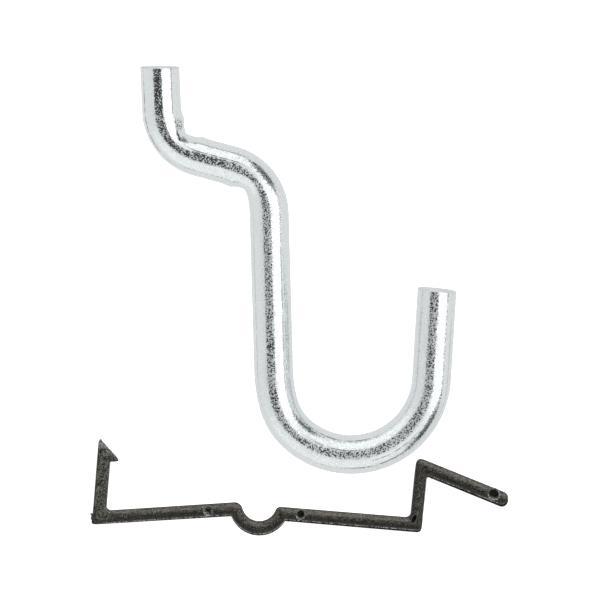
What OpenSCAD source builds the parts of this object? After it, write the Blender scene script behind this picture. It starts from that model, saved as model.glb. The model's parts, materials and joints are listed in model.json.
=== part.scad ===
// Pegboard J-hook and its loose peg lock, lying flat side by side.
// The hook is one bent steel wire. The lock is one plastic moulding that flexes at two of
// its corners, so its barbed arm and its spring leg are separate nodes hinged there.
// Millimetres. +X is across, +Y is towards the hook's peg, and +Z is up from the table.
// The origin is on the table, under the middle of the whole layout.

/* [Hook] */
// Diameter of the hook's round steel wire
wire_d = 5.72; // [5.5:0.01:6]
// Lean of the peg from the Y axis, as the hook lies
peg_lean = 2.3; // [0:0.05:5]
// Straight length of the peg, which stands up behind the board
peg_len = 6.4; // [5:0.1:9]
// Centreline radius of the bend from the peg to the crank
peg_bend_r = 7.1; // [6:0.05:8]
// Angle of the bend from the peg to the crank
peg_bend = 72.7; // [66:0.1:80]
// Straight length of the crank, which passes through the board's hole
crank_len = 5; // [4:0.1:8]
// Centreline radius of the bend from the crank to the shank
shank_bend_r = 7.35; // [6:0.05:9]
// Angle of the bend from the crank to the shank
shank_bend = 73.4; // [66:0.1:80]
// Straight length of the shank, which lies down the board's face
shank_len = 22.9; // [20:0.1:40]
// Centreline radius of the gentle curve at the foot of the shank
heel_bend_r = 21.3; // [18:0.1:24]
// Angle of the gentle curve at the foot of the shank
heel_bend = 13.1; // [8:0.1:16]
// Centreline radius of the tighter curve that follows it
corner_bend_r = 9.2; // [8.5:0.1:11]
// Angle of the tighter curve
corner_bend = 33.4; // [25:0.1:40]
// Centreline radius of the rest of the U bend, which holds the load
u_bend_r = 11.7; // [11:0.1:12.5]
// Angle of the rest of the U bend
u_bend = 128.5; // [120:0.1:134]
// Straight length of the upturned arm
arm_len = 13; // [8:0.1:16]

/* [Lock] */
// Thickness of the moulding, from the table up
lock_t = 2.4; // [2:0.1:3]
// Width of the two bars beside the saddle
bar_w = 1.94; // [1.6:0.02:2.2]
// Radius of the saddle's round seat, which grips the hook's wire
saddle_r = 2.45; // [2.2:0.05:2.7]
// Distance from the saddle's middle to the middle of the barbed arm's foot
barb_reach = 23.4; // [23:0.05:24]
// Distance from the saddle's middle to the middle of the step's foot
step_reach = 22.85; // [22.5:0.05:23.5]
// Droop of the bar that leads to the barbed arm
barb_bar_droop = 3.6; // [2:0.1:5]
// Droop of the bar that leads to the step
step_bar_droop = 4.8; // [3:0.1:6]
// Depth of the barbed arm's bar under the saddle's middle
barb_bar_drop = 0.4; // [0.2:0.05:0.8]
// Depth of the step's bar under the saddle's middle
step_bar_drop = 1.05; // [0.6:0.05:1.2]
// Width of the barbed arm
barb_arm_w = 1.86; // [1.6:0.02:2]
// Length of the barbed arm from its corner to its tip
barb_arm_len = 11.45; // [10:0.05:13]
// Lean of the barbed arm from the Y axis
barb_arm_lean = 4.64; // [3:0.02:6]
// How far the barb's point stands beside the middle of its arm
barb_out = 2.2; // [1.8:0.05:2.4]
// Distance from the arm's corner to the barb's catching edge
barb_catch = 8.4; // [8:0.05:9]
// Width of the step
step_w = 1.74; // [1.6:0.02:2]
// Height of the step between its two corners
step_len = 8.65; // [8:0.05:9.5]
// Lean of the step from the Y axis
step_lean = 5.46; // [4:0.02:7]
// Width of the spring leg
leg_w = 2.1; // [1.8:0.02:2.3]
// Length of the spring leg from its corner to its round tip
leg_len = 13.6; // [11:0.1:15]
// Droop of the spring leg below the X axis
leg_droop = 22.2; // [18:0.1:25]
// Clear gap at the two corners that flex
corner_gap = 0.1; // [0.05:0.01:0.2]

/* [Layout] */
// Place across the table of the middle of the peg's end
hook_x = -20.22; // [-21:0.01:-20]
// Place along the table of the middle of the peg's end
hook_y = 34.16; // [34:0.01:36]
// Place across the table of the middle of the saddle
lock_x = -5.91; // [-6.5:0.01:-5.5]
// Place along the table of the middle of the saddle
lock_y = -29.8; // [-32:0.01:-29.5]

/* [Hidden] */
$fn = 64;
wire_r = wire_d / 2;
// The wire draws out by a hair where it is bent
bend_wire_r = wire_r - 0.01;
// Each straight stretch runs on a hair into the bends beside it
wire_lap = 0.03;
bar_r = bar_w / 2;
saddle_outer_r = saddle_r + bar_w + 0.05;
mouth_half = saddle_outer_r + 1;
barb_foot = [-barb_reach, -barb_bar_drop - barb_reach * tan(barb_bar_droop)];
step_foot = [step_reach, -step_bar_drop - step_reach * tan(step_bar_droop)];
step_head = step_foot + step_len * [sin(step_lean), cos(step_lean)];
// The round corners stand a hair proud of the strips that meet there
corner_proud = 0.04;
// The torn stub of the moulding's gate, at the barbed arm's corner
gate_stub = [1, 1.3];
gate_stub_out = 0.28;

// A straight stretch of the wire along +X, with what follows it at its end. One of no
// length joins two bends.
module straight(len) {
    translate([-wire_lap, 0, 0]) rotate([0, 90, 0]) cylinder(h = len + 2 * wire_lap, r = wire_r);
    translate([len, 0, 0]) children();
}

// A bend of the wire: to the left of its run when turn is positive, and to the right when
// it is negative, with what follows it at its end
module bend(r, turn) {
    side = sign(turn);
    translate([0, side * r, 0]) rotate([0, 0, -90 * side])
        rotate_extrude(angle = turn) translate([r, 0]) circle(r = bend_wire_r);
    translate([0, side * r, 0]) rotate([0, 0, turn]) translate([0, -side * r, 0]) children();
}

module hook() {
    color("lightsteelblue")
        translate([hook_x, hook_y, wire_r]) rotate([0, 0, peg_lean - 90])
            straight(peg_len)
            bend(peg_bend_r, peg_bend)
            straight(crank_len)
            bend(shank_bend_r, -shank_bend)
            straight(shank_len)
            bend(heel_bend_r, heel_bend)
            straight(0)
            bend(corner_bend_r, corner_bend)
            straight(0)
            bend(u_bend_r, u_bend)
            straight(arm_len);
}

// A flat strip of width w between the points a and b
module strip(a, b, w) {
    run = b - a;
    translate(a) rotate(atan2(run[1], run[0])) translate([0, -w / 2]) square([norm(run), w]);
}

// The lock's own frame has its origin at the middle of the saddle, on the table
module lock_place() {
    translate([lock_x, lock_y, 0]) linear_extrude(lock_t) children();
}

// The space over the middle lines of the two bars, where the saddle is open towards +Y
module saddle_mouth() {
    polygon([
        [-mouth_half, -barb_bar_drop - mouth_half * tan(barb_bar_droop)],
        [0, -barb_bar_drop],
        [0, -step_bar_drop],
        [mouth_half, -step_bar_drop - mouth_half * tan(step_bar_droop)],
        [mouth_half, mouth_half],
        [-mouth_half, mouth_half]
    ]);
}

module lock_bar() {
    color("dimgray") lock_place() {
        difference() {
            union() {
                difference() {
                    circle(r = saddle_outer_r);
                    saddle_mouth();
                }
                strip(barb_foot, [0, -barb_bar_drop], bar_w);
                strip([0, -step_bar_drop], step_foot, bar_w);
            }
            circle(r = saddle_r);
        }
        translate(barb_foot) circle(r = bar_r + corner_proud);
        translate(step_foot) circle(r = bar_r + corner_proud);
        strip(step_foot, step_head, step_w);
        translate(step_head) circle(r = step_w / 2 + corner_proud);
        translate(barb_foot + [-bar_r - gate_stub_out, -gate_stub[1] + 0.55]) square(gate_stub);
    }
}

module barb_arm() {
    foot = bar_r + corner_proud + corner_gap;
    side = barb_arm_w / 2;
    color("dimgray") lock_place()
        translate(barb_foot) rotate(-barb_arm_lean)
            polygon([
                [-side, foot],
                [side, foot],
                [side, barb_catch],
                [barb_out - 0.2, barb_catch + 0.05],
                [barb_out, barb_catch + 0.3],
                [-side + 0.35, barb_arm_len],
                [-side + 0.1, barb_arm_len - 0.05],
                [-side, barb_arm_len - 0.35]
            ]);
}

module spring_leg() {
    tip_r = leg_w / 2;
    color("dimgray") lock_place()
        difference() {
            translate(step_head) rotate(-leg_droop) {
                translate([0, -tip_r]) square([leg_len - tip_r, leg_w]);
                translate([leg_len - tip_r, 0]) circle(r = tip_r);
            }
            translate(step_head) circle(r = step_w / 2 + corner_proud + corner_gap);
            strip(step_foot, step_head, step_w + 2 * corner_gap);
        }
}

hook();
lock_bar();
barb_arm();
spring_leg();
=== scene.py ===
"""A zinc-plated J-hook for pegboard, and the loose black lock that clips over its shank."""
import json
import math
from collections import namedtuple

import bpy
import numpy as np
from mathutils import Matrix, Vector


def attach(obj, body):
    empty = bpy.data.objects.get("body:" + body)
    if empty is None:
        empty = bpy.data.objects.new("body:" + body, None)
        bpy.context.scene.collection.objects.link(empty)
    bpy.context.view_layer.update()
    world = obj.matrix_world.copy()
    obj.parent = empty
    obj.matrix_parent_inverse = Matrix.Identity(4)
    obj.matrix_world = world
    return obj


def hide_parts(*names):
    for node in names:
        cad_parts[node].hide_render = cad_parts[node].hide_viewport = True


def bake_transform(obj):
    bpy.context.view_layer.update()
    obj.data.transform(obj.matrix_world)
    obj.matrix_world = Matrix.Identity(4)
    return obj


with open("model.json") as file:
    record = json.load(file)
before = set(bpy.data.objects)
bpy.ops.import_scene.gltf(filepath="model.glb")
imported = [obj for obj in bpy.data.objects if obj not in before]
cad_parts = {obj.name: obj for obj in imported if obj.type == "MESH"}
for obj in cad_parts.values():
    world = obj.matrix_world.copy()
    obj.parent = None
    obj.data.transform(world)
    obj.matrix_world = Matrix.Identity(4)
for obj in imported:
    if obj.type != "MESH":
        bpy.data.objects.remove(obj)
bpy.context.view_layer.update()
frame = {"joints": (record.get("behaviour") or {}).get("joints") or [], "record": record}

MM = 0.001
MOUNTS = {m["name"]: m for m in frame["record"]["mounts"]}
JOINTS = {j["name"]: j for j in frame["joints"]}

# ---------------------------------------------------------------- the hook's driving sizes, mm
WIRE_R = MOUNTS["peg"]["dims"]["r_mm"]
PEG_LEN = MOUNTS["peg"]["dims"]["length_mm"]
ARM_LEN = MOUNTS["hook_arm"]["dims"]["length_mm"]
HOOK_RUN = [                # straights by length, bends by radius and turn in degrees
    ("straight", PEG_LEN),
    ("bend", 7.1, 72.7),
    ("straight", 5.0),
    ("bend", 7.35, -73.4),
    ("straight", 22.9),
    ("bend", 21.3, 13.1),
    ("bend", 9.2, 33.4),
    ("bend", 11.7, 128.5),
    ("straight", ARM_LEN),
]
WIRE_SIDES = 96             # facets round the wire
WIRE_STEP = 0.2             # spacing of its rings

# dark lines along the wire, painted into its colour: partly the drawing die's own lines and partly a
# painted reflection of a dark edge low down round the wire. Across the wire (1 is its left side), from,
# to, strength
DIE_AND_REFLECTED_LINES = [
    (-0.83, 0, 14, 1.0),
    (-0.81, 27, 62, 0.35),
    (-0.80, 82, 102, 0.35),
    (0.79, 40, 62, 0.55),
    (0.67, 34, 60, 0.40),
    (0.575, 0, 8, 0.6),
    (0.69, 13, 22, 0.5),
    (0.54, 27, 60, 0.6),
    (0.76, 64, 77, 1.0),
    (0.30, 12, 23, 0.80),
    (0.30, 64, 73, 0.70),
    (-0.61, 70, 80, 0.9),
    (-0.33, 74, 82, 0.70),
    (0.76, 84, 102, 0.30),
]
# patches scuffed by the bending tool: across the wire, along it, half-width, half-length
SCUFFS = [
    (0.72, 9.2, 0.055, 1.5),
    (0.53, 12.2, 0.035, 0.9),
    (0.55, 24.8, 0.042, 2.4),
    (0.66, 63.0, 0.034, 2.6),
    (-0.50, 82.6, 0.030, 4.2),
]

# ---------------------------------------------------------------- the lock's driving sizes, mm
LOCK_T = 2.4
PARTING_Z = 1.12            # height of the line where the mould's halves met
BAR_HALF = 0.87
SEAT_R = 2.54               # inner radius of the saddle
SADDLE_R = 4.36             # its outer radius
BARB_BAR_DROOP = 3.6        # how far each bar droops from the saddle outwards, degrees
STEP_BAR_DROOP = 4.8
BARB_BAR_DROP = 0.4         # how far below the saddle's middle each bar's line passes
STEP_BAR_DROP = 1.05
BARB_LEAN = 4.64
BARB_LEN = 11.45
BARB_HALF = 0.93
STEP_REACH = 22.85
STEP_HALF = 0.89
LEG_HALF = 0.90
LEG_LEN = 13.6
LEG_DROOP = 22.2
FILLET = 0.75               # inner radius of the corners at the barb and under the step
SEAM_X = -17.0              # where the two visible halves of the lock meet
FLAT_TOP = 9                # roundness of a flat, sharp-edged top; 2 is a plain half-round
HALF_ROUND = 2.05


# ---------------------------------------------------------------- helpers for meshes
def unit(angle):
    """The unit vector at an angle in degrees."""
    return np.array([math.cos(math.radians(angle)), math.sin(math.radians(angle))])


def bearing(vector):
    """The angle of a vector in degrees."""
    return math.degrees(math.atan2(vector[1], vector[0]))


def left_of(direction):
    return np.array([-direction[1], direction[0]])


def ring_faces(rings, around):
    """Quads between successive closed rings of points, and a lid on each end. They face outward
    where the points run clockwise, seen looking ahead along the rings."""
    faces = []
    for i in range(rings - 1):
        a, b = i * around, (i + 1) * around
        for k in range(around):
            n = (k + 1) % around
            faces.append((a + n, b + n, b + k, a + k))
    faces.append(tuple(reversed(range(around))))
    faces.append(tuple(range((rings - 1) * around, rings * around)))
    return faces


def draft(name, verts, faces, uv_name, uv):
    """A mesh object still in millimetres, with one UV map."""
    mesh = bpy.data.meshes.new(name)
    mesh.from_pydata([tuple(v) for v in verts], [], faces)
    layer = mesh.uv_layers.new(name=uv_name)
    layer.data.foreach_set("uv", np.asarray(uv, float).ravel())
    obj = bpy.data.objects.new(name, mesh)
    bpy.context.scene.collection.objects.link(obj)
    return obj


def carve(obj, tool, operation):
    """Joins a tool to a solid or cuts it out of it, and throws the tool away."""
    step = obj.modifiers.new("carve", "BOOLEAN")
    step.operation = operation
    step.solver = "EXACT"
    step.object = tool
    view = bpy.context.evaluated_depsgraph_get()
    done = bpy.data.meshes.new_from_object(obj.evaluated_get(view))
    obj.modifiers.remove(step)
    obj.data = done
    bpy.data.objects.remove(tool)


def finish_mesh(obj, mat, smooth_angle):
    """Brings a draft to metres, smooths it up to an angle and gives it its material."""
    mesh = obj.data
    mesh.transform(Matrix.Scale(MM, 4))
    mesh.polygons.foreach_set("use_smooth", [True] * len(mesh.polygons))
    mesh.set_sharp_from_angle(angle=math.radians(smooth_angle))
    mesh.materials.clear()
    mesh.materials.append(mat)
    mesh.update()


def away_from(x, centre, back, ahead):
    """0 at the centre, rising to 1 at back before it and ahead after it."""
    return np.clip(np.where(x < centre, (centre - x) / back, (x - centre) / ahead), 0, 1)


def swell(x, centre, back, ahead):
    """A round hump of height 1."""
    return (1 - away_from(x, centre, back, ahead) ** 2) ** 2


def crease(x, centre, back, ahead):
    """A sharp peak of height 1."""
    return (1 - away_from(x, centre, back, ahead)) ** 1.3


# ---------------------------------------------------------------- helpers for nodes
def plug(tree, value, slot):
    """Links a socket to an input, or sets the input to a number or colour."""
    if isinstance(value, bpy.types.NodeSocket):
        tree.links.new(value, slot)
    else:
        slot.default_value = value


def calc(tree, kind, *values):
    """The result of a Math node on numbers and sockets."""
    made = tree.nodes.new("ShaderNodeMath")
    made.operation = kind
    for slot, value in zip(made.inputs, values):
        plug(tree, value, slot)
    return made.outputs[0]


def remap(tree, value, low, high, to_low=0.0, to_high=1.0, smooth=True):
    """A value taken from the range low..high to another, held at its ends."""
    made = tree.nodes.new("ShaderNodeMapRange")
    made.interpolation_type = "SMOOTHSTEP" if smooth else "LINEAR"
    for slot, number in zip(made.inputs, (value, low, high, to_low, to_high)):
        plug(tree, number, slot)
    return made.outputs["Result"]


def noise(tree, place, scale, detail=2.0, roughness=0.55):
    made = tree.nodes.new("ShaderNodeTexNoise")
    tree.links.new(place, made.inputs["Vector"])
    made.inputs["Scale"].default_value = scale
    made.inputs["Detail"].default_value = detail
    made.inputs["Roughness"].default_value = roughness
    return made.outputs["Fac"]


def mix_colour(tree, factor, first, second):
    made = tree.nodes.new("ShaderNodeMix")
    made.data_type = "RGBA"
    plug(tree, factor, made.inputs["Factor"])
    plug(tree, first, made.inputs["A"])
    plug(tree, second, made.inputs["B"])
    return made.outputs["Result"]


def bump(tree, height, strength, distance, normal=None):
    made = tree.nodes.new("ShaderNodeBump")
    made.inputs["Strength"].default_value = strength
    made.inputs["Distance"].default_value = distance
    tree.links.new(height, made.inputs["Height"])
    if normal:
        tree.links.new(normal, made.inputs["Normal"])
    return made.outputs["Normal"]


def uv_map(tree, name):
    """The two coordinates of a named UV map."""
    made = tree.nodes.new("ShaderNodeUVMap")
    made.uv_map = name
    split = tree.nodes.new("ShaderNodeSeparateXYZ")
    tree.links.new(made.outputs["UV"], split.inputs[0])
    return split.outputs[0], split.outputs[1]


def new_material(name):
    """A new material's node tree, its Principled shader and its object coordinates."""
    mat = bpy.data.materials.new(name)
    mat.use_nodes = True
    tree = mat.node_tree
    place = tree.nodes.new("ShaderNodeTexCoord").outputs["Object"]
    return mat, tree, tree.nodes["Principled BSDF"], place


# ---------------------------------------------------------------- materials
def turn_of(across):
    """How far round the wire, from 0 to 1, a place across its upper side is."""
    return math.acos(across) / (2 * math.pi)


def near(tree, value, centre, reach):
    """1 near a value and 0 beyond reach of it."""
    away = calc(tree, "ABSOLUTE", calc(tree, "SUBTRACT", value, centre))
    return remap(tree, away, reach, reach * 0.35)


def zinc_plate(total):
    """Bright zinc: a mirror broken by fine dull crystals, with dark lines along the wire that are
    partly the die's own and partly a painted reflection.
    """
    mat, tree, shader, place = new_material("zinc_plate")
    turn, run = uv_map(tree, "wire")
    along = calc(tree, "MULTIPLY", run, total)
    crystals = noise(tree, place, 5200.0, 1.0, 0.6)
    clouds = noise(tree, place, 420.0, 2.0, 0.5)

    # the dark lines, partly the die's own and partly a painted reflection, come and go along the wire
    line_fade = remap(tree, noise(tree, place, 900.0, 2.0, 0.6), 0.30, 0.52)
    marks = 0.0
    for across, start, end, strength in DIE_AND_REFLECTED_LINES:
        line = near(tree, turn, turn_of(across), 0.0060)
        middle, reach = (start + end) / 2, (end - start) / 2 + 1.0
        line = calc(tree, "MULTIPLY", line, near(tree, along, middle, reach))
        line = calc(tree, "MULTIPLY", line, strength)
        marks = calc(tree, "MAXIMUM", marks, line)
    marks = calc(tree, "MULTIPLY", marks, line_fade)

    # scuffs are dark specks
    specks = remap(tree, crystals, 0.46, 0.56)
    scuffed = 0.0
    for across, middle, half_width, half_length in SCUFFS:
        patch = near(tree, turn, turn_of(across), half_width)
        patch = calc(tree, "MULTIPLY", patch, near(tree, along, middle, half_length))
        scuffed = calc(tree, "MAXIMUM", scuffed, patch)
    marks = calc(tree, "MAXIMUM", marks, calc(tree, "MULTIPLY", scuffed, specks))

    bright = mix_colour(tree, clouds, (0.74, 0.79, 0.79, 1), (0.80, 0.82, 0.84, 1))
    sheared = remap(tree, calc(tree, "ABSOLUTE", calc(tree, "SUBTRACT", run, 0.5)), 0.4992, 0.4999)
    bright = mix_colour(tree, calc(tree, "MULTIPLY", sheared, clouds), bright, (0.62, 0.64, 0.65, 1))
    # the dark lines and the scuffed specks take this dark colour; part of the lines is a painted
    # reflection
    plug(tree, mix_colour(tree, marks, bright, (0.07, 0.08, 0.09, 1)), shader.inputs["Base Color"])

    # dull crystals are commoner away from the peg
    past_the_peg = remap(tree, along, 8.0, 34.0, -0.05, 0.028)
    common = calc(tree, "ADD", calc(tree, "MULTIPLY", clouds, 0.2), past_the_peg)
    dull = remap(tree, calc(tree, "ADD", crystals, common), 0.59, 0.62)
    rough = remap(tree, dull, 0.0, 1.0, 0.06, 0.50, smooth=False)
    rough = calc(tree, "MAXIMUM", rough, calc(tree, "MULTIPLY", sheared, 0.4))
    plug(tree, rough, shader.inputs["Roughness"])
    grain = bump(tree, crystals, 0.30, 0.00004)
    grooved = calc(tree, "SUBTRACT", 1.0, marks)
    plug(tree, bump(tree, grooved, 0.5, 0.00003, grain), shader.inputs["Normal"])
    shader.inputs["Metallic"].default_value = 1.0
    return mat


def black_moulding():
    """Charcoal plastic with the glittering grain of a spark-eroded mould. Its UV map of painted light
    says where a highlight is painted on (1), where it is plain (0.5) and where shade is painted on (0),
    and where it is flat and duller."""
    mat, tree, shader, place = new_material("black_moulding")
    shade, flat = uv_map(tree, "finish")
    grain = noise(tree, place, 6400.0, 1.0, 0.6)
    patches = noise(tree, place, 800.0, 2.0, 0.5)
    colour = mix_colour(tree, flat, (0.0185, 0.0172, 0.0145, 1), (0.030, 0.0307, 0.0268, 1))
    # a painted highlight where the map's shade is over 0.5, painted shade where it is under 0.5
    painted_highlight = remap(tree, shade, 0.5, 1.0, smooth=False)
    colour = mix_colour(tree, painted_highlight, colour, (0.20, 0.20, 0.19, 1))
    gain = remap(tree, shade, 0.0, 0.5, 0.15, 1.0, smooth=False)
    gain = calc(tree, "MULTIPLY", gain, remap(tree, grain, 0.43, 0.62, 0.15, 3.3, smooth=False))
    gain = calc(tree, "MULTIPLY", gain, remap(tree, patches, 0.3, 0.7, 0.85, 1.2, smooth=False))
    scaled = tree.nodes.new("ShaderNodeVectorMath")
    scaled.operation = "SCALE"
    plug(tree, colour, scaled.inputs[0])
    plug(tree, gain, scaled.inputs["Scale"])
    plug(tree, scaled.outputs[0], shader.inputs["Base Color"])
    plug(tree, remap(tree, grain, 0.35, 0.65, 0.34, 0.60, smooth=False), shader.inputs["Roughness"])
    plug(tree, bump(tree, grain, 0.7, 0.00007), shader.inputs["Normal"])
    shader.inputs["Specular IOR Level"].default_value = 0.07
    return mat


# ---------------------------------------------------------------- the hook
def hook_centreline():
    """Points, headings and running lengths along the middle of the wire, from the peg's end."""
    out = np.array(MOUNTS["peg"]["axis"][:2])
    place = np.array(MOUNTS["peg"]["pos_m"][:2]) / MM + out * PEG_LEN / 2
    heading = math.atan2(-out[1], -out[0])
    points, headings, lengths = [place], [heading], [0.0]
    for kind, size, *turn in HOOK_RUN:
        turn = math.radians(turn[0]) if turn else 0.0
        length = size * abs(turn) if turn else size
        steps = max(2, round(length / WIRE_STEP))
        part = turn / steps
        chord = 2 * size * math.sin(abs(part) / 2) if turn else length / steps
        for _ in range(steps):
            middle = heading + part / 2
            place = place + chord * np.array([math.cos(middle), math.sin(middle)])
            heading += part
            points.append(place)
            headings.append(heading)
            lengths.append(lengths[-1] + length / steps)
    return points, headings, lengths


def wire_radius(run, turn):
    """The wire's radius at a running length and the angles round it. The press that bent the
    crank left a crease inside each of its two bends and a swell beside each crease."""
    left = np.clip(np.cos(turn), 0, 1)
    right = np.clip(-np.cos(turn), 0, 1)
    run = np.array(run)
    r = WIRE_R - 0.74 * crease(run, 11.6, 2.6, 3.8) * left ** 1.6
    r = r + 0.20 * swell(run, 8.2, 2.4, 1.6) * left ** 2
    r = r + 0.12 * swell(run, 15.0, 1.0, 1.6) * left ** 2
    r = r - 0.72 * crease(run, 24.3, 2.9, 4.6) * right ** 1.6
    r = r + 0.15 * swell(run, 21.4, 2.6, 1.3) * right ** 2
    return r


# how a sheared end rounds over: distance in from the wire's skin, distance past its last ring
SHEARED_END = [
    (0.0, -0.20),
    (0.04, -0.06),
    (0.14, 0.02),
    (0.5, 0.03),
    (1.1, 0.0),
    (1.9, -0.03),
    (2.6, -0.04),
]
# how far past its nominal end each cut is, and how much further on the wire's left side
PEG_CUT = (0.06, -0.12)
ARM_CUT = (0.14, 0.12)


def build_hook():
    """The wire from the peg's cut end to the upturned arm's."""
    turn = np.linspace(0, 2 * math.pi, WIRE_SIDES, endpoint=False)
    points, headings, lengths = hook_centreline()
    total = lengths[-1]
    verts, runs = [], []

    def ring(i, inset=0.0, push=0.0, slant=0.0):
        """A ring round the wire at its i-th point, drawn in by inset, pushed ahead, and pushed
        further by slant on its left side."""
        ahead = np.array([math.cos(headings[i]), math.sin(headings[i])])
        side = left_of(ahead)
        radius = wire_radius(lengths[i], turn) - inset
        across = np.cos(turn) * radius
        along = push + slant * across / WIRE_R
        verts.append(np.column_stack([
            points[i][0] + side[0] * across + ahead[0] * along,
            points[i][1] + side[1] * across + ahead[1] * along,
            WIRE_R + np.sin(turn) * radius]))
        runs.append(lengths[i] / total)

    for inset, push in reversed(SHEARED_END):
        ring(0, inset, -push - PEG_CUT[0], -PEG_CUT[1])
    for i in range(3, len(points) - 2):
        ring(i)
    for inset, push in SHEARED_END:
        ring(len(points) - 1, inset, push + ARM_CUT[0], ARM_CUT[1])

    faces = ring_faces(len(verts), WIRE_SIDES)
    uv = []
    for before, after in zip(runs, runs[1:]):
        for k in range(WIRE_SIDES):
            first, second = k / WIRE_SIDES, (k + 1) / WIRE_SIDES
            uv += [(second, before), (second, after), (first, after), (first, before)]
    uv += [(k / WIRE_SIDES, 0) for k in reversed(range(WIRE_SIDES))]
    uv += [(k / WIRE_SIDES, 1) for k in range(WIRE_SIDES)]
    hook = draft("hook_wire", np.concatenate(verts), faces, "wire", uv)
    finish_mesh(hook, zinc_plate(total), 40)
    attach(hook, "hook")
    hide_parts("hook")
    return hook


# ---------------------------------------------------------------- the lock's outline
# places and directions on the lock, measured from the saddle's middle
SADDLE = np.array(MOUNTS["saddle"]["pos_m"][:2]) / MM
BARB_FOOT = np.array(JOINTS["barb_flex"]["pos_m"][:2]) / MM - SADDLE
STEP_HEAD = np.array(JOINTS["leg_flex"]["pos_m"][:2]) / MM - SADDLE
BARB_BAR = unit(BARB_BAR_DROOP)
STEP_BAR = unit(-STEP_BAR_DROOP)
BARB_UP = unit(90 - BARB_LEAN)
BARB_OUT = -left_of(BARB_UP)
STEP_FALL = STEP_REACH * math.tan(math.radians(STEP_BAR_DROOP))
STEP_FOOT = np.array([STEP_REACH, -STEP_BAR_DROP - STEP_FALL])
STEP_UP = (STEP_HEAD - STEP_FOOT) / np.linalg.norm(STEP_HEAD - STEP_FOOT)
LEG = unit(-LEG_DROOP)

# a stretch of the lock between a left and a right edge, as seen walking from the barb's tip to
# the leg's, with how flat its top is at both ends and how many stations it is cut into
Span = namedtuple("Span", "left right flat_from flat_to stations")


def resample(points, count):
    """The same run of points with count points spaced evenly along it."""
    points = np.array(points, float)
    run = np.concatenate([[0], np.cumsum(np.hypot(*np.diff(points, axis=0).T))])
    at = np.linspace(0, run[-1], count)
    return np.column_stack([np.interp(at, run, points[:, 0]), np.interp(at, run, points[:, 1])])


def arc(centre, radius, start, end, steps=24):
    """Points along an arc between two angles in degrees."""
    return [np.array(centre) + radius * unit(a) for a in np.linspace(start, end, steps)]


def meet(p, d, q, e):
    """Where the line through p along d meets the line through q along e."""
    return p + d * np.linalg.solve(np.array([d, -e]).T, q - p)[0]


def rounded(points, radius):
    """A run of points with its inner corners rounded off."""
    points = [np.array(p, float) for p in points]
    out = [points[0]]
    for before, corner, after in zip(points, points[1:], points[2:]):
        a = (before - corner) / np.linalg.norm(before - corner)
        b = (after - corner) / np.linalg.norm(after - corner)
        for t in np.linspace(0, 1, 9):
            out.append(corner + radius * ((1 - t) ** 2 * a + t ** 2 * b))
    out.append(points[-1])
    return out


def on_arm(out, up):
    """A point on the barb's arm: out from its middle line and up from its foot."""
    return BARB_FOOT + BARB_OUT * out + BARB_UP * up


def on_bar(bar, drop, offset, x):
    """The point at x on a line along a bar, offset to its left."""
    return np.array([x, -drop + (x * bar[1] + offset) / bar[0]])


def barb_spans():
    """The barb's slope, its point and its catching edge."""
    back = -BARB_HALF
    return [
        Span([on_arm(-0.58, BARB_LEN), on_arm(-0.28, BARB_LEN - 0.40), on_arm(1.88, 9.02)],
             [on_arm(-0.74, BARB_LEN - 0.02), on_arm(back, BARB_LEN - 0.45), on_arm(back, 9.3)],
             FLAT_TOP, FLAT_TOP, 26),
        Span(rounded([on_arm(1.88, 9.02), on_arm(2.20, 8.62), on_arm(1.77, 8.50)], 0.09),
             [on_arm(back, 9.3), on_arm(back, 8.95)], FLAT_TOP, FLAT_TOP, 10),
        Span([on_arm(1.77, 8.50), on_arm(BARB_HALF + 0.08, 8.42), on_arm(BARB_HALF, 8.30)],
             [on_arm(back, 8.95), on_arm(back, 8.5)], FLAT_TOP, FLAT_TOP, 14),
    ]


def arm_spans():
    """The barb's arm, the corner at its foot and the bar as far as the seam."""
    rise = left_of(BARB_BAR)
    pivot = meet(on_arm(BARB_HALF + FILLET, 0), BARB_UP,
                 BARB_FOOT + rise * (BAR_HALF + FILLET), BARB_BAR)
    low = float((pivot - BARB_FOOT) @ BARB_UP)
    along = float((pivot - BARB_FOOT) @ BARB_BAR)
    upper = BARB_FOOT + rise * BAR_HALF + BARB_BAR * along
    lower = BARB_FOOT - rise * BAR_HALF + BARB_BAR * along
    outer = meet(on_arm(-BARB_HALF, 0), BARB_UP, lower, BARB_BAR)
    start = bearing(-BARB_OUT)
    return [
        Span([on_arm(BARB_HALF, 8.30), on_arm(BARB_HALF, low)],
             [on_arm(-BARB_HALF, 8.5), on_arm(-BARB_HALF, low)], FLAT_TOP, 7, 60),
        Span(arc(pivot, FILLET, start, start + (bearing(-rise) - start) % 360),
             rounded([on_arm(-BARB_HALF, low), outer, lower], 0.75), 7, 3.4, 34),
        Span([upper, on_bar(BARB_BAR, BARB_BAR_DROP, BAR_HALF, SEAM_X)],
             [lower, on_bar(BARB_BAR, BARB_BAR_DROP, -BAR_HALF, SEAM_X)], 3.4, HALF_ROUND, 130),
    ]


# where the bars' edges run into the saddle's ring
BARB_LIP_R = 1.2
STEP_LIP_R = 0.8
BARB_JOIN = (-3.72, -4.15)  # x where the upper and the lower edge end
STEP_JOIN = (3.15, 3.80)


def lip_centre(bar, drop, radius, side):
    """The middle of the round lip that touches a bar's upper edge and the seat."""
    reach = SEAT_R + radius
    x = side * reach
    for _ in range(20):
        y = on_bar(bar, drop, BAR_HALF, x)[1] - radius / bar[0]
        x = side * math.sqrt(reach ** 2 - y ** 2)
    return np.array([x, y])


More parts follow.
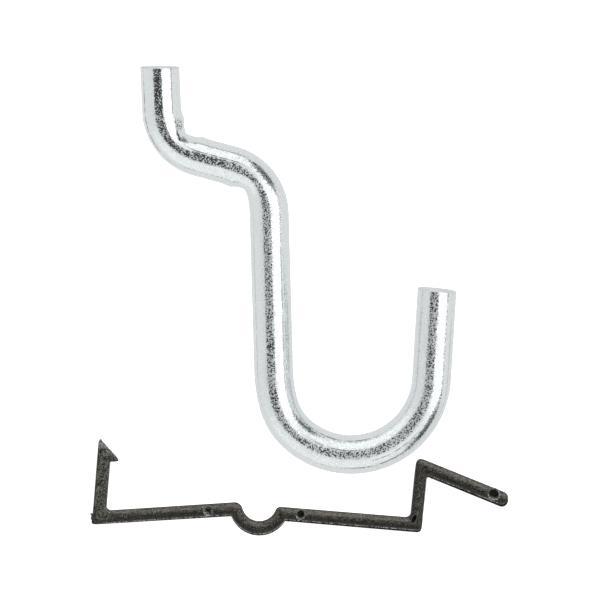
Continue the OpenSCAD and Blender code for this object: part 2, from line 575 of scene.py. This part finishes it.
def saddle_spans():
    """The rest of the barb's bar, and the saddle's ring with a lip on each side."""
    lip_a = lip_centre(BARB_BAR, BARB_BAR_DROP, BARB_LIP_R, -1)
    lip_b = lip_centre(STEP_BAR, STEP_BAR_DROP, STEP_LIP_R, 1)
    seat_a, seat_b = bearing(lip_a) % 360, bearing(lip_b) % 360
    ring_a = bearing(on_bar(BARB_BAR, BARB_BAR_DROP, -BAR_HALF, BARB_JOIN[1])) % 360
    ring_b = bearing(on_bar(STEP_BAR, STEP_BAR_DROP, -BAR_HALF, STEP_JOIN[1])) % 360
    turn_a, turn_b = seat_a + 21, seat_b - 21
    return [
        Span([on_bar(BARB_BAR, BARB_BAR_DROP, BAR_HALF, x) for x in (SEAM_X, BARB_JOIN[0])],
             [on_bar(BARB_BAR, BARB_BAR_DROP, -BAR_HALF, x) for x in (SEAM_X, BARB_JOIN[1])],
             HALF_ROUND, HALF_ROUND, 170),
        Span(arc(lip_a, BARB_LIP_R, 90 + BARB_BAR_DROOP, seat_a - 180),
             arc((0, 0), SADDLE_R, ring_a, turn_a), HALF_ROUND, HALF_ROUND, 26),
        Span(arc((0, 0), SEAT_R, seat_a, seat_b),
             arc((0, 0), SADDLE_R, turn_a, turn_b), HALF_ROUND, HALF_ROUND, 110),
        Span(arc(lip_b, STEP_LIP_R, seat_b - 180, 90 - STEP_BAR_DROOP),
             arc((0, 0), SADDLE_R, turn_b, ring_b), HALF_ROUND, HALF_ROUND, 26),
    ]


def step_spans():
    """The second bar, the corner under the step, the step and the corner over it."""
    rise, west, top = left_of(STEP_BAR), left_of(STEP_UP), left_of(LEG)
    pivot = meet(STEP_FOOT + west * (STEP_HALF + FILLET), STEP_UP,
                 STEP_FOOT + rise * (BAR_HALF + FILLET), STEP_BAR)
    near_foot = STEP_FOOT + STEP_BAR * float((pivot - STEP_FOOT) @ STEP_BAR)
    low = STEP_FOOT + STEP_UP * float((pivot - STEP_FOOT) @ STEP_UP)
    outer = meet(STEP_FOOT - rise * BAR_HALF, STEP_BAR, STEP_FOOT - west * STEP_HALF, STEP_UP)
    inner_r = 0.25
    hinge = meet(STEP_HEAD - west * (STEP_HALF + inner_r), STEP_UP,
                 STEP_HEAD - top * (LEG_HALF + inner_r), LEG)
    high = STEP_HEAD + STEP_UP * float((hinge - STEP_HEAD) @ STEP_UP)
    out = STEP_HEAD + LEG * float((hinge - STEP_HEAD) @ LEG)
    peak = meet(STEP_HEAD + west * STEP_HALF, STEP_UP, STEP_HEAD + top * LEG_HALF, LEG)
    return [
        Span([on_bar(STEP_BAR, STEP_BAR_DROP, BAR_HALF, STEP_JOIN[0]), near_foot + rise * BAR_HALF],
             [on_bar(STEP_BAR, STEP_BAR_DROP, -BAR_HALF, STEP_JOIN[1]), near_foot - rise * BAR_HALF],
             HALF_ROUND, 2.2, 230),
        Span(arc(pivot, FILLET, -90 - STEP_BAR_DROOP, bearing(-west)),
             rounded([near_foot - rise * BAR_HALF, outer, low - west * STEP_HALF], 0.75), 2.2, 2.8, 34),
        Span([low + west * STEP_HALF, high + west * STEP_HALF],
             [low - west * STEP_HALF, high - west * STEP_HALF], 2.8, 2.8, 70),
        Span(rounded([high + west * STEP_HALF, peak, out + top * LEG_HALF], 1.35),
             arc(hinge, inner_r, bearing(west), bearing(top)), 2.8, HALF_ROUND, 34),
    ] + leg_spans(out, top)


def leg_spans(start, top):
    """The leg and its round tip."""
    tip = STEP_HEAD + LEG * (LEG_LEN - LEG_HALF)
    ahead = -LEG_DROOP
    return [
        Span([start + top * LEG_HALF, tip + top * LEG_HALF],
             [start - top * LEG_HALF, tip - top * LEG_HALF], HALF_ROUND, HALF_ROUND, 150),
        Span(arc(tip, LEG_HALF, ahead + 90, ahead + 3),
             arc(tip, LEG_HALF, ahead - 90, ahead - 3), HALF_ROUND, HALF_ROUND, 16),
    ]


# ---------------------------------------------------------------- the lock's body
# levels of the light and shade painted into the lock's colour: a painted highlight (LIGHT), none
# (PLAIN), painted shade (DARK)
PLAIN, LIGHT, DARK = 0.5, 1.0, 0.0
# painted shade on a section's steep edges, and on the ledge under the flash line
EDGE_SHADE, LEDGE_SHADE = 0.15, 0.3
# a painted highlight on the lit side of a pin mark's flash ring, and painted shade in its hole
PIN_RIM_HIGHLIGHT, PIN_HOLE_SHADE = 0.76, 0.3
MARK_FLAT = 0.3             # how flat and dull the faces of a mark are
STUB_FINISH = (0.35, 0.9)   # the torn stub's shade and dullness
TOP_STEPS = 28              # stretches over the top of a section, and under it
LOW_STEPS = 14
MISMATCH = 0.155            # half the mismatch of the mould's halves at the saddle
MISMATCH_GROWTH = 0.00175   # its growth for each mm along X
FLASH = 0.03                # how far the flash stands out
SOUTH_FLASH = 0.11          # how much further it does on edges that face -Y
# the painted light of each stretch round a section: the top between its edges, which get painted shade
# where they turn steep, the flash line with a painted highlight, the ledge in painted shade, the
# underside, and painted shade on the lower half's flank under the upper half's overhang
SHADES = ([EDGE_SHADE] * 4 + [PLAIN] * (TOP_STEPS - 11) + [EDGE_SHADE] * 7
          + [LIGHT, LIGHT, LEDGE_SHADE, LEDGE_SHADE] + [PLAIN] * LOW_STEPS + [DARK, DARK, PLAIN])


def lean_at(x):
    """Half the mismatch of the mould's halves, which grows towards the leg."""
    return np.array([0, MISMATCH + MISMATCH_GROWTH * x])


def section(left, right, flat):
    """The closed outline across the lock between two edge points. The mould's halves don't
    quite line up, so the lower one stands out as a ledge towards -Y under a thin flash line."""
    middle, arm = (left + right) / 2, (left - right) / 2
    lean = lean_at(middle[0])
    half_width = np.linalg.norm(arm)
    inward = arm / max(half_width, 1e-6)
    flash = inward * (FLASH + SOUTH_FLASH * max(inward[1], 0.0))
    fullness = math.sqrt(min(1.0, half_width / 0.8))
    rise = (LOCK_T - PARTING_Z - 0.02) * fullness
    out = []
    for a in np.linspace(0, math.pi, TOP_STEPS + 1):
        across = math.copysign(abs(math.cos(a)) ** (2 / flat), math.cos(a))
        height = abs(math.sin(a)) ** (2 / flat)
        out.append((*(middle + lean + arm * across), PARTING_Z + 0.02 + rise * height))
    out.append((*(right + lean - flash * 0.4), PARTING_Z + 0.07))
    out.append((*(right + lean - flash), PARTING_Z + 0.01))
    out.append((*(right - lean - inward * 0.02), PARTING_Z - 0.01))
    first = 0.12                # where the underside starts, in radians past the parting line
    for a in np.linspace(first, math.pi - first, LOW_STEPS + 1):
        across = -math.copysign(math.sqrt(abs(math.cos(a))), math.cos(a))
        out.append((*(middle - lean + arm * across), PARTING_Z * (1 - math.sqrt(math.sin(a)))))
    out.append((*(left - lean + inward * 0.05), PARTING_Z - 0.03))
    out.append((*(left - lean + inward * 0.03), PARTING_Z))
    return out


def sweep(name, spans):
    """A closed solid through the sections of some spans, and the painted light and shade of its
    stretches.
    """
    rows, flats = [], []
    for span in spans:
        lefts, rights = resample(span.left, span.stations), resample(span.right, span.stations)
        flatness = np.linspace(span.flat_from, span.flat_to, span.stations)
        for i in range(1 if rows else 0, span.stations):
            rows.append(section(lefts[i], rights[i], flatness[i]))
            flats.append((flatness[i] - HALF_ROUND) / (FLAT_TOP - HALF_ROUND))
    around = len(rows[0])
    verts = np.array(rows).reshape(-1, 3)
    verts[:, :2] += SADDLE
    faces = ring_faces(len(rows), around)
    uv = []
    for before, after in zip(flats, flats[1:]):
        for k in range(around):
            uv += [(SHADES[k], before), (SHADES[k], after), (SHADES[k], after), (SHADES[k], before)]
    uv += [(PLAIN, 0)] * (2 * around)
    return draft(name, verts, faces, "finish", uv)


def turned(name, centre, profile, shades, stretch=1.0, spin=0.0, bright_side=None):
    """A round tool on an upright axis, from (radius, height) pairs, lowest first, with the painted
    light of each step between them and of its ends. It can be longer along its spin, and with a side
    for a painted highlight, in degrees, its painted light and shade fade to plain on the side away from
    that."""
    sides = 40
    fade = [1.0] * sides
    if bright_side is not None:
        fade = [0.5 + 0.5 * math.cos(math.radians(360 * k / sides + spin - bright_side))
                for k in range(sides)]
    verts = []
    for radius, height in profile:
        for k in range(sides):
            x, y = radius * unit(360 * k / sides) * (stretch, 1)
            ahead = unit(spin) * x + left_of(unit(spin)) * y
            verts.append((*(SADDLE + centre + ahead), height))
    faces = ring_faces(len(profile), sides)
    uv = []
    for shade in shades[:-1]:
        for k in range(sides):
            uv += [(PLAIN + (shade - PLAIN) * fade[k], MARK_FLAT)] * 4
    for k in [*reversed(range(sides)), *range(sides)]:
        uv.append((PLAIN + (shades[-1] - PLAIN) * fade[k], MARK_FLAT))
    return draft(name, verts, faces, "finish", uv)


# the marks of the mould's ejector pins: the middle, the radius of the flash ring round it and how much
# longer it is along its spin, the side where a highlight is painted on the ring, the painted light of
# the shallow dish inside, lighter for a painted glint and darker for painted shade, and the radius,
# stretch and place of the hole in the dish, which is painted dark with shade
Pin = namedtuple("Pin", "centre rim_r rim_stretch spin bright_side "
                        "dish_shade hole_r hole_stretch hole_at")
PINS = [
    Pin(on_bar(BARB_BAR, BARB_BAR_DROP, -0.06, -7.42) + lean_at(-7.42),
        0.76, 1.0, -16, -110, 0.68, 0.29, 1.9, (-0.06, 0.05)),
    Pin(on_bar(STEP_BAR, STEP_BAR_DROP, 0.10, 6.04) + lean_at(6.04),
        0.74, 1.0, 0, -125, 0.45, 0.58, 1.0, (0.04, 0.04)),
    Pin(STEP_HEAD + LEG * 11.33 + left_of(LEG) * 0.10 + lean_at(34),
        0.84, 1.12, -22, -80, 0.55, 0.62, 1.26, (0.03, 0.08)),
]
RIM_W = 0.10


def press_pin(obj, pin):
    """The mark of an ejector pin: a thin ring of flash, a dish and a hole off its middle. The ring gets
    a painted highlight on one side, the dish painted light and the hole painted shade.
    """
    top = LOCK_T + 0.05
    ring = [(pin.rim_r + 0.05, 1.3), (pin.rim_r, top - 0.06), (pin.rim_r - 0.03, top)]
    rim = turned("ring", pin.centre, ring, [PLAIN, PIN_RIM_HIGHLIGHT, PIN_RIM_HIGHLIGHT], pin.rim_stretch, pin.spin,
                 pin.bright_side)
    carve(obj, rim, "UNION")
    dish_r = pin.rim_r - RIM_W
    dish = [(dish_r - 0.06, 2.12), (dish_r, top + 0.4)]
    dish = turned("dish", pin.centre, dish, [pin.dish_shade] * 2, pin.rim_stretch, pin.spin)
    carve(obj, dish, "DIFFERENCE")
    hole = [(pin.hole_r - 0.08, 1.70), (pin.hole_r, top + 0.4)]
    hole = turned("hole", pin.centre + pin.hole_at, hole, [PIN_HOLE_SHADE] * 2, pin.hole_stretch,
                  pin.spin)
    carve(obj, hole, "DIFFERENCE")


def gate_stub(obj):
    """The torn stub of the mould's gate on the corner at the barb's foot."""
    start, end = -0.92, 0.56            # its run along Y, from the corner's middle
    low, high = 0.45, 1.85              # its heights
    inner, outer, lean = -0.30, -1.30, 0.04
    ragged = [0.10, -0.04, 0.06, -0.07, 0.02, 0.11, -0.03]
    steps = len(ragged)
    verts = []
    for i in range(steps):
        up = start + (end - start) * i / (steps - 1)
        edge = outer + lean * (steps - 1 - i) + ragged[i]
        for x, z in ((inner, low), (edge, low + 0.1), (edge + 0.06, high - 0.2), (inner, high)):
            verts.append((SADDLE[0] + BARB_FOOT[0] + x, SADDLE[1] + BARB_FOOT[1] + up, z))
    faces = ring_faces(steps, 4)
    corners = sum(len(f) for f in faces)
    carve(obj, draft("stub", verts, faces, "finish", [STUB_FINISH] * corners), "UNION")


def build_lock():
    """The lock in two halves, because one piece can bend at one corner only."""
    mat = black_moulding()
    barb = sweep("lock_barb_half", barb_spans() + arm_spans())
    stamp = on_arm(0.285, 9.43)
    # the moat round the stamped disc and the disc's side are painted dark: a painted shadow round the
    # disc
    moat = [(0.67, LOCK_T - 0.30), (0.70, LOCK_T + 0.2)]
    carve(barb, turned("moat", stamp + (0.02, -0.10), moat, [DARK] * 2), "DIFFERENCE")
    disc = [(0.66, 1.9), (0.65, LOCK_T + 0.01), (0.61, LOCK_T + 0.04)]
    carve(barb, turned("disc", stamp, disc, [DARK, PLAIN, 0.53]), "UNION")
    gate_stub(barb)
    step = sweep("lock_step_half", saddle_spans() + step_spans())
    for pin in PINS:
        press_pin(step, pin)
    # the nick is painted dark: painted shade in a recess
    nick = [(0.30, 1.45), (0.40, 2.0), (0.46, 2.9)]
    nick = turned("nick", STEP_FOOT + (-0.26, 1.0), nick, [DARK] * 3, stretch=1.9, spin=62)
    carve(step, nick, "DIFFERENCE")
    for half in (barb, step):
        finish_mesh(half, mat, 50)
        # the photo's wire doesn't mirror the lock
        half.visible_glossy = False

    def blend_across(piece):
        """Bakes a half's placement into its mesh."""
        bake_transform(piece)

    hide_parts("barb_arm")
    blend_across(barb)
    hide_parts("lock_bar", "spring_leg")
    blend_across(step)


# ---------------------------------------------------------------- the stage
def build_stage():
    """A white table. The wire mirrors it as a plain light grey."""
    size = 4.0
    corners = [(-size, -size, 0), (size, -size, 0), (size, size, 0), (-size, size, 0)]
    mesh = bpy.data.meshes.new("table")
    mesh.from_pydata(corners, [], [(0, 1, 2, 3)])
    table = bpy.data.objects.new("table", mesh)
    bpy.context.scene.collection.objects.link(table)
    mat, tree, shader, _ = new_material("white_table")
    shader.inputs["Base Color"].default_value = (0.6, 0.6, 0.6, 1)
    shader.inputs["Roughness"].default_value = 1.0
    shader.inputs["Specular IOR Level"].default_value = 0.0
    shader.inputs["Emission Color"].default_value = (1, 1, 1, 1)
    shader.inputs["Emission Strength"].default_value = 0.8
    mirrored = tree.nodes.new("ShaderNodeEmission")
    mirrored.inputs["Color"].default_value = (0.88, 0.88, 0.88, 1)
    ray = tree.nodes.new("ShaderNodeLightPath").outputs["Is Camera Ray"]
    either = tree.nodes.new("ShaderNodeMixShader")
    plug(tree, ray, either.inputs[0])
    plug(tree, mirrored.outputs[0], either.inputs[1])
    plug(tree, shader.outputs[0], either.inputs[2])
    plug(tree, either.outputs[0], tree.nodes["Material Output"].inputs["Surface"])
    mesh.materials.append(mat)


def build_light():
    """A white tent lit brightest from +X, with a dark opening overhead, through which the camera
    looks, and a dark gap low down, widest at the tent's two corners towards +X."""
    world = bpy.data.worlds.new("studio")
    bpy.context.scene.world = world
    world.use_nodes = True
    tree = world.node_tree
    split = tree.nodes.new("ShaderNodeSeparateXYZ")
    tree.links.new(tree.nodes.new("ShaderNodeTexCoord").outputs["Generated"], split.inputs[0])
    x, y, z = split.outputs

    # the opening, as a rounded square on a ceiling at height 1
    ceiling = calc(tree, "MAXIMUM", z, 0.02)
    far = 0.0
    for value, middle, half in ((x, -0.31, 0.50), (y, 0.07, 0.50)):
        away = calc(tree, "SUBTRACT", calc(tree, "DIVIDE", value, ceiling), middle)
        away = calc(tree, "ABSOLUTE", calc(tree, "DIVIDE", away, half))
        far = calc(tree, "ADD", far, calc(tree, "POWER", away, 4.0))
    opening = remap(tree, far, 1.35, 0.65)

    # the gap: angles are away from +X, in radians
    round_to = calc(tree, "ABSOLUTE", calc(tree, "ARCTAN2", y, x))
    from_corner = calc(tree, "ABSOLUTE", calc(tree, "SUBTRACT", round_to, 0.70))
    half = remap(tree, from_corner, 0.46, 0.14, 0.035, 0.22)
    middle = remap(tree, round_to, 0.7, 1.3, 0.38, 0.07)
    middle = calc(tree, "ADD", middle, calc(tree, "MULTIPLY", y, 0.06))
    away = calc(tree, "ABSOLUTE", calc(tree, "SUBTRACT", z, middle))
    gap = remap(tree, calc(tree, "DIVIDE", away, half), 1.3, 0.7)
    gap = calc(tree, "MULTIPLY", gap, remap(tree, round_to, 2.2, 1.9))

    # the softboxes, over the gap
    above = remap(tree, calc(tree, "SUBTRACT", z, middle), 0.04, 0.10)
    lamp = remap(tree, round_to, 0.75, 0.35, 0.0, 1.0)
    lamp = calc(tree, "ADD", lamp, remap(tree, y, 0.25, 0.60, 0.0, 0.42))
    lamp = calc(tree, "ADD", lamp, remap(tree, y, -0.25, -0.60, 0.0, 0.20))
    level = calc(tree, "ADD", 0.88, calc(tree, "MULTIPLY", lamp, above))
    for dark, depth in ((opening, 0.93), (gap, 0.95)):
        kept = calc(tree, "SUBTRACT", 1.0, calc(tree, "MULTIPLY", dark, depth))
        level = calc(tree, "MULTIPLY", level, kept)
    plug(tree, level, tree.nodes["Background"].inputs["Strength"])
    tree.nodes["Background"].inputs["Color"].default_value = (1, 1, 1, 1)


def build_camera():
    """A long lens high over the table, set back towards +Y and aimed at the layout's middle."""
    height, tilt, shot_width = 700.0, math.radians(5.0), 87.42
    aim = Vector((0.03, 0.11, 0))
    data = bpy.data.cameras.new("camera")
    data.sensor_width = 36
    data.lens = data.sensor_width * height / math.cos(tilt) / shot_width
    data.clip_start, data.clip_end = 0.05, 20
    camera = bpy.data.objects.new("camera", data)
    camera.location = (aim + Vector((0, height * math.tan(tilt), height))) * MM
    camera.rotation_euler = (-tilt, 0, 0)
    bpy.context.scene.collection.objects.link(camera)
    bpy.context.scene.camera = camera


def build_key_light(wire):
    """A wide soft light from +Y that neither lights the wire nor is shaded by it."""
    data = bpy.data.lights.new("key", "SUN")
    data.energy = 9.0
    data.angle = math.radians(30)
    key = bpy.data.objects.new("key", data)
    key.rotation_euler = Vector((0.25, 0.93, 0.27)).to_track_quat("Z", "Y").to_euler()
    # an excluded member of the linked collection is the one object that the light leaves out
    unlit = bpy.data.collections.new("kept out of the key light")
    unlit.objects.link(wire)
    unlit.collection_objects[0].light_linking.link_state = "EXCLUDE"
    key.light_linking.receiver_collection = unlit
    key.light_linking.blocker_collection = unlit
    bpy.context.scene.collection.objects.link(key)


bpy.context.scene.view_settings.view_transform = "Standard"
build_camera()
build_light()
build_stage()
build_key_light(build_hook())
build_lock()
